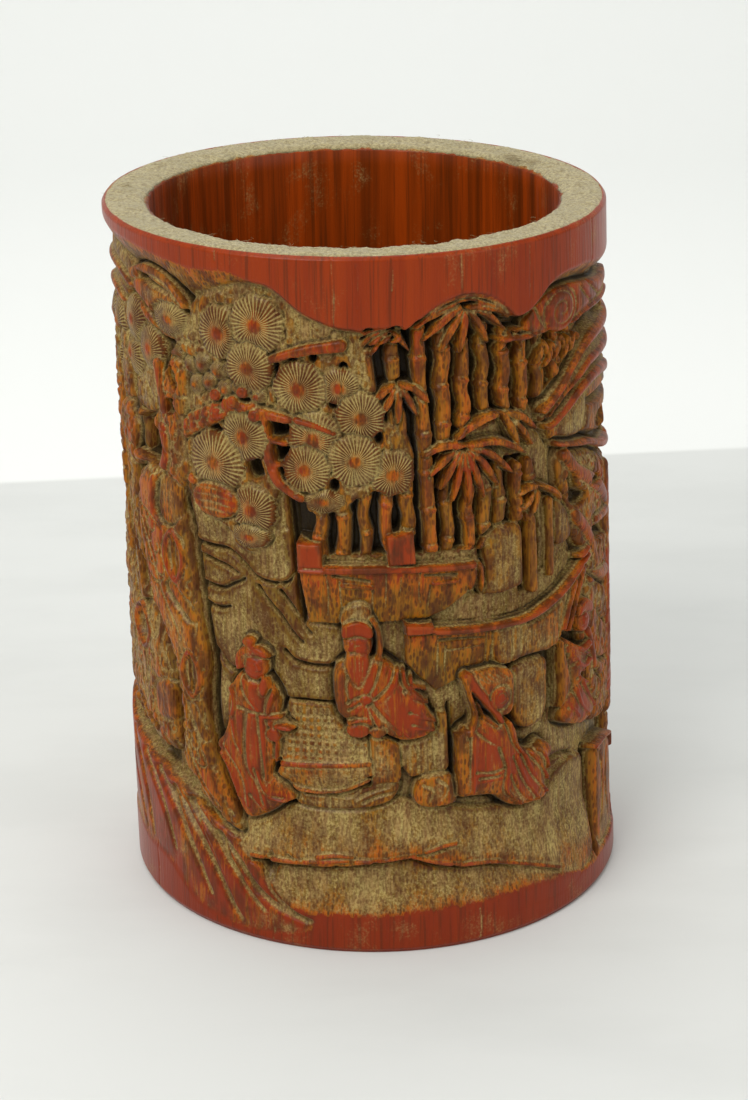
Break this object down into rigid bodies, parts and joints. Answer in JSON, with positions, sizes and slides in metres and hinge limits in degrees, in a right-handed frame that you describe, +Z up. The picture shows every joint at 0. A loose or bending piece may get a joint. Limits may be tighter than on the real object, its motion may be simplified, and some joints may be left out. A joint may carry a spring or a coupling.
{
  "type": "brush holder pot",
  "caption": "Round bamboo brush pot with a carved landscape frieze between smooth rim and foot bands, open at the top and closed by a pinned base disc.",
  "frame": {"origin": "centre of the pot's box, in the plane of the foot", "axes": "+Z up the pot towards the rim, -Y towards the scholars' side of the frieze"},
  "size_m": [0.1259, 0.1236, 0.172],
  "materials": {
    "carved_bamboo": "hand-polished skin, matt dusty carved ground",
    "base_wood": "planed, unpolished",
    "peg_bamboo": "cut bamboo"
  },
  "bodies": {
    "root": {"culm_wall": "carved_bamboo", "base_disc": "base_wood", "base_pegs": "peg_bamboo"}
  },
  "joints": []
}
